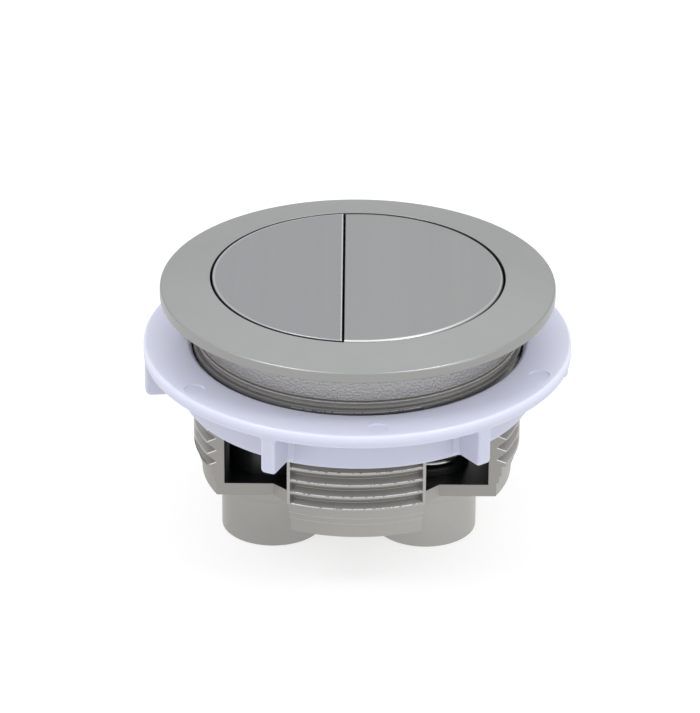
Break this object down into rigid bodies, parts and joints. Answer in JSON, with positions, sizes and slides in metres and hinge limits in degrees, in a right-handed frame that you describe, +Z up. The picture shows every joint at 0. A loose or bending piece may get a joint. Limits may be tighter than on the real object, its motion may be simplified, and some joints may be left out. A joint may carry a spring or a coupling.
{
  "type": "dual flush push button",
  "caption": "Round push button for a cistern lid: split button in a flanged, threaded housing with a white fixing nut and guide tubes for the push rods.",
  "frame": {"origin": "on the axis of the barrel, in the plane where the flange sits on the cistern lid", "axes": "+Z up out of the lid along the barrel axis, -Y to the front, small button towards -X and large button towards +X"},
  "size_m": [0.076, 0.076, 0.0488],
  "materials": {
    "brushed_nickel": "satin nickel plating on moulded plastic",
    "button_nickel": "brushed nickel plating on moulded plastic",
    "white_nylon": "moulded, slightly translucent",
    "black_acetal": "smooth moulded",
    "spring_steel": "bright drawn wire"
  },
  "bodies": {
    "housing_body": {"housing": "brushed_nickel", "small_guide_bush": "black_acetal", "large_guide_bush": "black_acetal", "small_spring": "spring_steel", "large_spring": "spring_steel"},
    "nut": {"fixing_nut": "white_nylon"},
    "small_button": {"small_button_cap": "button_nickel", "small_plunger": "black_acetal", "small_retaining_clip": "spring_steel"},
    "large_button": {"large_button_cap": "button_nickel", "large_plunger": "black_acetal", "large_retaining_clip": "spring_steel"}
  },
  "joints": [
    {"name": "small_press", "type": "slide", "parent": "housing_body", "child": "small_button", "axis": [0, 0, -1], "range_m": [0, 0.006], "stiffness_N_per_m": 300, "springref_m": -0.008, "deforming": ["small_spring"]},
    {"name": "large_press", "type": "slide", "parent": "housing_body", "child": "large_button", "axis": [0, 0, -1], "range_m": [0, 0.006], "stiffness_N_per_m": 300, "springref_m": -0.008, "deforming": ["large_spring"]},
    {"name": "nut_travel", "type": "slide", "parent": "housing_body", "child": "nut", "axis": [0, 0, 1], "range_m": [-0.0155, 0.0035]}
  ]
}
